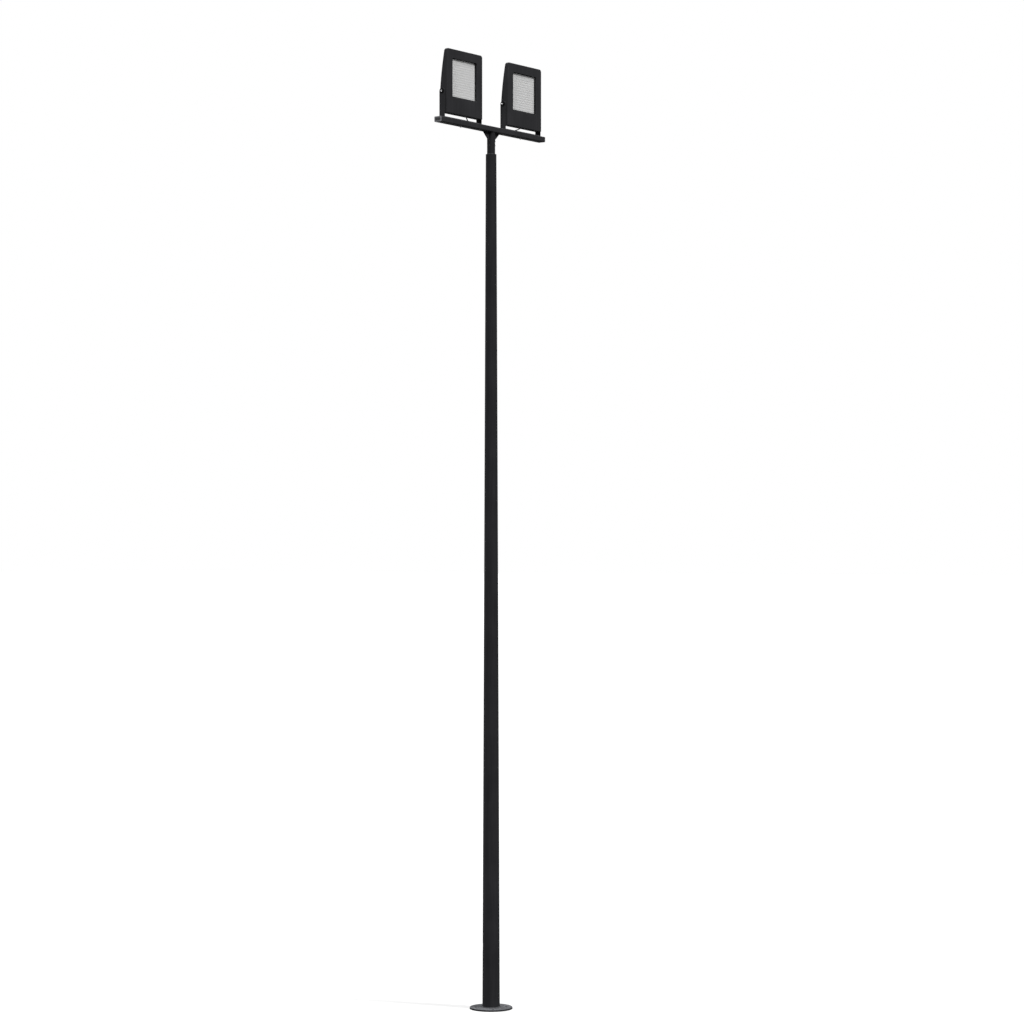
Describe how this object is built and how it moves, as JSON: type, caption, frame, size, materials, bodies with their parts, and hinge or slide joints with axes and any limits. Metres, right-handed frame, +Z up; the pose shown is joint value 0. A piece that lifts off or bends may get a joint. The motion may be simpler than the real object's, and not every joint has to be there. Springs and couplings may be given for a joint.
{
  "type": "twin floodlight mast",
  "caption": "Tapered round steel mast on a flanged foot, with a crossarm on top that carries flat floodlights tilting in U-shaped yokes.",
  "frame": {"origin": "centre of the foot plate's underside", "axes": "+Z up along the column, X along the crossarm, the floodlights face -Y"},
  "size_m": [1.6, 0.4, 8.893],
  "materials": {
    "mast_paint": "black polyester powder coat over galvanised steel, satin",
    "yoke_paint": "black powder coat, satin",
    "lamp_coating": "black powder coat on die-cast aluminium, fine texture",
    "galvanised_steel": "hot-dip galvanised, dull",
    "stainless_fasteners": "stainless steel, rolled",
    "dark_fasteners": "black oxide",
    "plug_plastic": "moulded grey polyethylene",
    "gland_plastic": "moulded black nylon",
    "gasket_rubber": "black silicone",
    "lead_rubber": "black neoprene-sheathed cable",
    "window_glass": "toughened, clear",
    "led_panel": "light grey lens plate with small round lenses"
  },
  "bodies": {
    "mast": {"base_plate": "mast_paint", "column": "mast_paint", "crossarm": "mast_paint", "crossarm_socket": "mast_paint", "door_cover": "mast_paint", "door_frame": "mast_paint", "door_lock": "galvanised_steel", "end_plug_left": "plug_plastic", "end_plug_right": "plug_plastic", "gusset_left": "mast_paint", "gusset_right": "mast_paint", "lamp_lead_left": "lead_rubber", "lamp_lead_right": "lead_rubber", "lead_grommet_left": "gasket_rubber", "lead_grommet_right": "gasket_rubber", "socket_screws": "dark_fasteners", "spigot": "galvanised_steel", "top_collar": "mast_paint", "yoke_bolt_left": "stainless_fasteners", "yoke_bolt_right": "stainless_fasteners", "yoke_left": "yoke_paint", "yoke_right": "yoke_paint"},
    "floodlight_left": {"lamp_body_left": "lamp_coating", "front_frame_left": "lamp_coating", "window_gasket_left": "gasket_rubber", "window_glass_left": "window_glass", "led_panel_left": "led_panel", "driver_cover_left": "lamp_coating", "cable_gland_left": "gland_plastic", "pivot_bolts_left": "stainless_fasteners"},
    "floodlight_right": {"lamp_body_right": "lamp_coating", "front_frame_right": "lamp_coating", "window_gasket_right": "gasket_rubber", "window_glass_right": "window_glass", "led_panel_right": "led_panel", "driver_cover_right": "lamp_coating", "cable_gland_right": "gland_plastic", "pivot_bolts_right": "stainless_fasteners"}
  },
  "joints": [
    {"name": "tilt_left", "type": "hinge", "parent": "mast", "child": "floodlight_left", "pos_m": [-0.46, 0, 8.5], "axis": [1, 0, 0], "range_deg": [-45, 90], "deforming": ["lamp_lead_left"]},
    {"name": "tilt_right", "type": "hinge", "parent": "mast", "child": "floodlight_right", "pos_m": [0.46, 0, 8.5], "axis": [1, 0, 0], "range_deg": [-45, 90], "deforming": ["lamp_lead_right"]}
  ]
}
